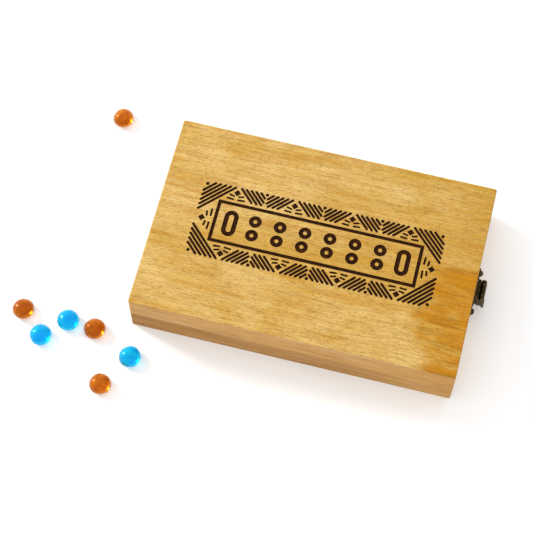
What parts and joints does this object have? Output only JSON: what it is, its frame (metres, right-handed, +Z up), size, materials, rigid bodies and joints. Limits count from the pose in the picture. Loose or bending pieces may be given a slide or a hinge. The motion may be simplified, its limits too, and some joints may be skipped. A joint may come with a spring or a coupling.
{
  "type": "folding mancala board",
  "caption": "Folding wooden mancala board that shuts into a flat box, with carved pits and stores inside, a hasp at one end and loose glass stones.",
  "frame": {"origin": "centre of the closed board's bottom face, on the table", "axes": "+Z up, +X from the hinge end to the hasp end, +Y towards the rear long side"},
  "size_m": [0.3209, 0.2204, 0.04],
  "materials": {
    "maple_lower": "clear satin lacquer on pale honey wood",
    "maple_upper": "clear satin lacquer on pale honey wood, with a burnt ornament",
    "hinge_brass": "dull brass-plated steel",
    "antique_bronze": "darkened bronze plating with rubbed edges",
    "amber_glass": "clear coloured glass, glossy",
    "blue_glass": "clear coloured glass, glossy"
  },
  "bodies": {
    "lower": {"lower_half": "maple_lower", "front_hinge_lower_leaf": "hinge_brass", "rear_hinge_lower_leaf": "hinge_brass", "front_hinge_lower_screws": "hinge_brass", "rear_hinge_lower_screws": "hinge_brass", "front_hinge_pin": "hinge_brass", "rear_hinge_pin": "hinge_brass", "catch_plate": "antique_bronze", "catch_plate_nails": "antique_bronze"},
    "upper": {"upper_half": "maple_upper", "front_hinge_upper_leaf": "hinge_brass", "rear_hinge_upper_leaf": "hinge_brass", "front_hinge_upper_screws": "hinge_brass", "rear_hinge_upper_screws": "hinge_brass", "latch_plate": "antique_bronze", "latch_plate_nails": "antique_bronze", "latch_pin": "antique_bronze"},
    "hasp": {"latch_hasp": "antique_bronze"},
    "amber_stone_1": {"amber_stone_1": "amber_glass"},
    "amber_stone_2": {"amber_stone_2": "amber_glass"},
    "amber_stone_3": {"amber_stone_3": "amber_glass"},
    "amber_stone_4": {"amber_stone_4": "amber_glass"},
    "blue_stone_1": {"blue_stone_1": "blue_glass"},
    "blue_stone_2": {"blue_stone_2": "blue_glass"},
    "blue_stone_3": {"blue_stone_3": "blue_glass"}
  },
  "joints": [
    {"name": "board_fold", "type": "hinge", "parent": "lower", "child": "upper", "pos_m": [-0.1157, 0, 0.02], "axis": [0, -1, 0], "range_deg": [0, 180]},
    {"name": "hasp_swing", "type": "hinge", "parent": "upper", "child": "hasp", "pos_m": [0.1194, 0, 0.027], "axis": [0, -1, 0], "range_deg": [0, 115]},
    {"name": "amber_stone_1_lift", "type": "slide", "parent": "lower", "child": "amber_stone_1", "axis": [0, 0, 1], "range_m": [0, 0.06]},
    {"name": "amber_stone_2_lift", "type": "slide", "parent": "lower", "child": "amber_stone_2", "axis": [0, 0, 1], "range_m": [0, 0.06]},
    {"name": "amber_stone_3_lift", "type": "slide", "parent": "lower", "child": "amber_stone_3", "axis": [0, 0, 1], "range_m": [0, 0.06]},
    {"name": "amber_stone_4_lift", "type": "slide", "parent": "lower", "child": "amber_stone_4", "axis": [0, 0, 1], "range_m": [0, 0.06]},
    {"name": "blue_stone_1_lift", "type": "slide", "parent": "lower", "child": "blue_stone_1", "axis": [0, 0, 1], "range_m": [0, 0.06]},
    {"name": "blue_stone_2_lift", "type": "slide", "parent": "lower", "child": "blue_stone_2", "axis": [0, 0, 1], "range_m": [0, 0.06]},
    {"name": "blue_stone_3_lift", "type": "slide", "parent": "lower", "child": "blue_stone_3", "axis": [0, 0, 1], "range_m": [0, 0.06]}
  ]
}
